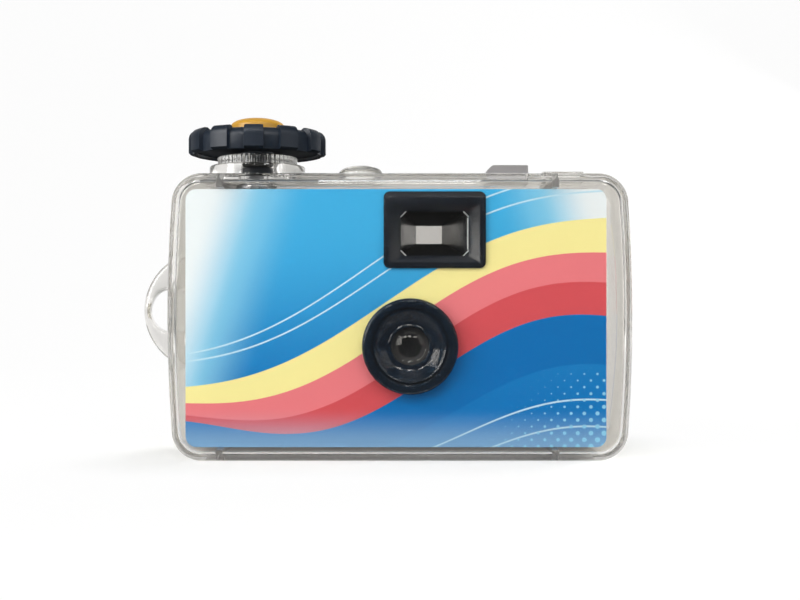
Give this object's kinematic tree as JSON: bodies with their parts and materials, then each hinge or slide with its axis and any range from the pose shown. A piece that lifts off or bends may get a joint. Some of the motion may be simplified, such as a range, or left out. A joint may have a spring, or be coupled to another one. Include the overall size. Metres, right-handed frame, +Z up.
{
  "type": "waterproof single-use film camera",
  "caption": "Single-use film camera with a printed wrap, sealed in a clear waterproof case with a large winding knob, a shutter button in the knob and a strap lug.",
  "frame": {"origin": "middle of the case's flat base", "axes": "+X to the right seen from the front, +Y to the rear, away from the lens, +Z up"},
  "size_m": [0.1233, 0.042, 0.0865],
  "materials": {
    "clear_polystyrene": "clear polished moulding",
    "gasket_rubber": "matte translucent silicone",
    "black_abs": "fine matte moulding",
    "orange_abs": "semi-gloss moulding",
    "seal_rubber": "matte",
    "spring_steel": "bright drawn wire",
    "printed_label": "coated print",
    "black_polystyrene": "matte moulding",
    "lens_ring_black": "semi-gloss moulding",
    "finder_black": "gloss moulding",
    "lens_acrylic": "polished acrylic",
    "blade_steel": "blackened sheet",
    "grey_acetal": "moulded acetal",
    "white_acetal": "moulded acetal",
    "cartridge_steel": "printed tinplate, left plain",
    "film": "acetate film"
  },
  "bodies": {
    "case": {"front_case": "clear_polystyrene", "rear_case": "clear_polystyrene", "case_gasket": "gasket_rubber", "front_label": "printed_label", "back_label": "printed_label", "front_cover": "black_polystyrene", "back_cover": "black_polystyrene", "lens_ring": "lens_ring_black", "taking_lens": "lens_acrylic", "lens_retainer": "black_polystyrene", "viewfinder_frame": "finder_black", "viewfinder_lens": "lens_acrylic", "viewfinder_eyepiece": "lens_acrylic", "camera_body": "black_polystyrene", "mechanism_deck": "black_polystyrene", "shutter_plate": "black_polystyrene", "lever_pin": "spring_steel", "cartridge_shell": "cartridge_steel", "cartridge_caps": "cartridge_steel", "film_strip": "film"},
    "knob": {"winding_knob": "black_abs", "spindle_seal": "seal_rubber", "retaining_clip": "spring_steel", "button_spring": "spring_steel"},
    "button": {"shutter_button": "orange_abs", "shutter_rod": "spring_steel", "rod_seal": "seal_rubber"},
    "winder": {"advance_wheel": "grey_acetal", "cartridge_spool": "black_polystyrene"},
    "supply_reel": {"supply_spool": "white_acetal", "film_roll": "film"},
    "sprocket": {"sprocket": "white_acetal"},
    "counter": {"counter_dial": "white_acetal"},
    "release": {"release_lever": "grey_acetal"},
    "cocking": {"cocking_lever": "grey_acetal"},
    "shutter": {"shutter_blade": "blade_steel"}
  },
  "joints": [
    {"name": "knob_turn", "type": "hinge", "parent": "case", "child": "knob", "pos_m": [-0.037, 0, 0.0705], "axis": [0, 0, 1], "continuous": true},
    {"name": "shutter_press", "type": "slide", "parent": "knob", "child": "button", "axis": [0, 0, -1], "range_m": [0, 0.0025], "stiffness_N_per_m": 400, "springref_m": -0.001, "deforming": ["button_spring"]},
    {"name": "winder_turn", "type": "hinge", "parent": "case", "child": "winder", "pos_m": [-0.037, 0, 0.052], "axis": [0, 0, 1], "continuous": true},
    {"name": "supply_turn", "type": "hinge", "parent": "case", "child": "supply_reel", "pos_m": [0.0371, 0, 0.028], "axis": [0, 0, 1], "continuous": true},
    {"name": "sprocket_turn", "type": "hinge", "parent": "case", "child": "sprocket", "pos_m": [-0.0165, 0.00595, 0.0428], "axis": [0, 0, 1], "continuous": true},
    {"name": "counter_turn", "type": "hinge", "parent": "case", "child": "counter", "pos_m": [-0.0108, 0.0025, 0.062], "axis": [0, 0, 1], "continuous": true},
    {"name": "release_tilt", "type": "hinge", "parent": "case", "child": "release", "pos_m": [-0.0215, 0, 0.0633], "axis": [0, -1, 0], "range_deg": [0, 9.6]},
    {"name": "cocking_swing", "type": "hinge", "parent": "case", "child": "cocking", "pos_m": [-0.0165, -0.0072, 0.053], "axis": [0, 0, 1], "range_deg": [0, 50]},
    {"name": "shutter_swing", "type": "hinge", "parent": "case", "child": "shutter", "pos_m": [-0.012, -0.0116, 0.032], "axis": [0, 1, 0], "range_deg": [0, 18], "stiffness_Nm_per_rad": 0.002, "springref_deg": -11.46}
  ],
  "couplings": [
    {"joint": "winder_turn", "follows": "knob_turn", "ratio": 1},
    {"joint": "supply_turn", "follows": "knob_turn", "ratio": 0.9143},
    {"joint": "sprocket_turn", "follows": "knob_turn", "ratio": 1.3228},
    {"joint": "counter_turn", "follows": "knob_turn", "ratio": -0.04409},
    {"joint": "release_tilt", "follows": "shutter_press", "rad_per_m": 64.516}
  ]
}
